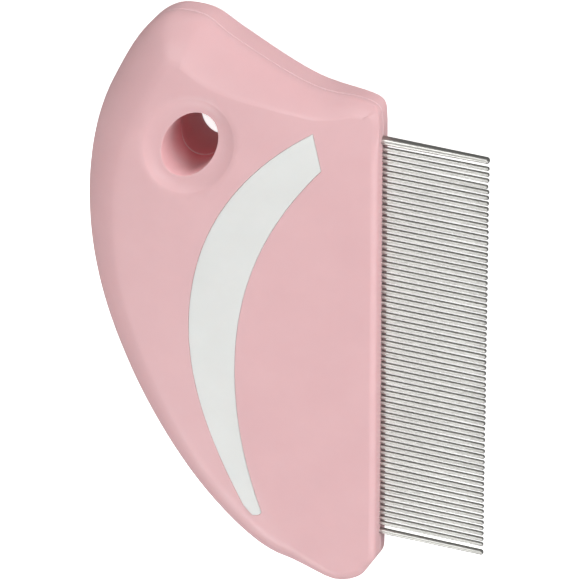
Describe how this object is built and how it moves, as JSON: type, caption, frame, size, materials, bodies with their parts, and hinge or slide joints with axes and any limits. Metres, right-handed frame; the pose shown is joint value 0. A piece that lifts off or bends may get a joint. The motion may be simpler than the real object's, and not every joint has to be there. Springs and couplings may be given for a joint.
{
  "type": "flea comb",
  "caption": "Hand-held flea comb: a curved palm-shaped plastic handle with a hang hole and an inlaid crescent, holding a row of fine closely spaced steel teeth.",
  "frame": {"origin": "middle of the comb's box in plan, at the height of its lowest point, with the comb lying face up", "axes": "+X along the teeth towards their tips, +Y along the row towards the end with the hang hole, +Z through the thickness, out of the front face"},
  "size_m": [0.06, 0.086, 0.017],
  "materials": {
    "pink_plastic": "satin moulded",
    "white_plastic": "satin moulded",
    "tooth_steel": "polished wire"
  },
  "bodies": {
    "root": {"front_shell": "pink_plastic", "back_shell": "pink_plastic", "front_inlay": "white_plastic", "back_inlay": "white_plastic", "front_clamp_plate": "pink_plastic", "back_clamp_plate": "pink_plastic", "guard_tooth_head": "tooth_steel", "guard_tooth_tail": "tooth_steel", "tooth_pair_01": "tooth_steel", "tooth_pair_02": "tooth_steel", "tooth_pair_03": "tooth_steel", "tooth_pair_04": "tooth_steel", "tooth_pair_05": "tooth_steel", "tooth_pair_06": "tooth_steel", "tooth_pair_07": "tooth_steel", "tooth_pair_08": "tooth_steel", "tooth_pair_09": "tooth_steel", "tooth_pair_10": "tooth_steel", "tooth_pair_11": "tooth_steel", "tooth_pair_12": "tooth_steel", "tooth_pair_13": "tooth_steel", "tooth_pair_14": "tooth_steel", "tooth_pair_15": "tooth_steel", "tooth_pair_16": "tooth_steel", "tooth_pair_17": "tooth_steel", "tooth_pair_18": "tooth_steel", "tooth_pair_19": "tooth_steel", "tooth_pair_20": "tooth_steel", "tooth_pair_21": "tooth_steel", "tooth_pair_22": "tooth_steel", "tooth_pair_23": "tooth_steel", "tooth_pair_24": "tooth_steel", "tooth_pair_25": "tooth_steel", "tooth_pair_26": "tooth_steel", "tooth_pair_27": "tooth_steel", "tooth_pair_28": "tooth_steel", "tooth_pair_29": "tooth_steel", "tooth_pair_30": "tooth_steel", "tooth_pair_31": "tooth_steel", "tooth_pair_32": "tooth_steel", "tooth_pair_33": "tooth_steel", "tooth_pair_34": "tooth_steel"}
  },
  "joints": []
}
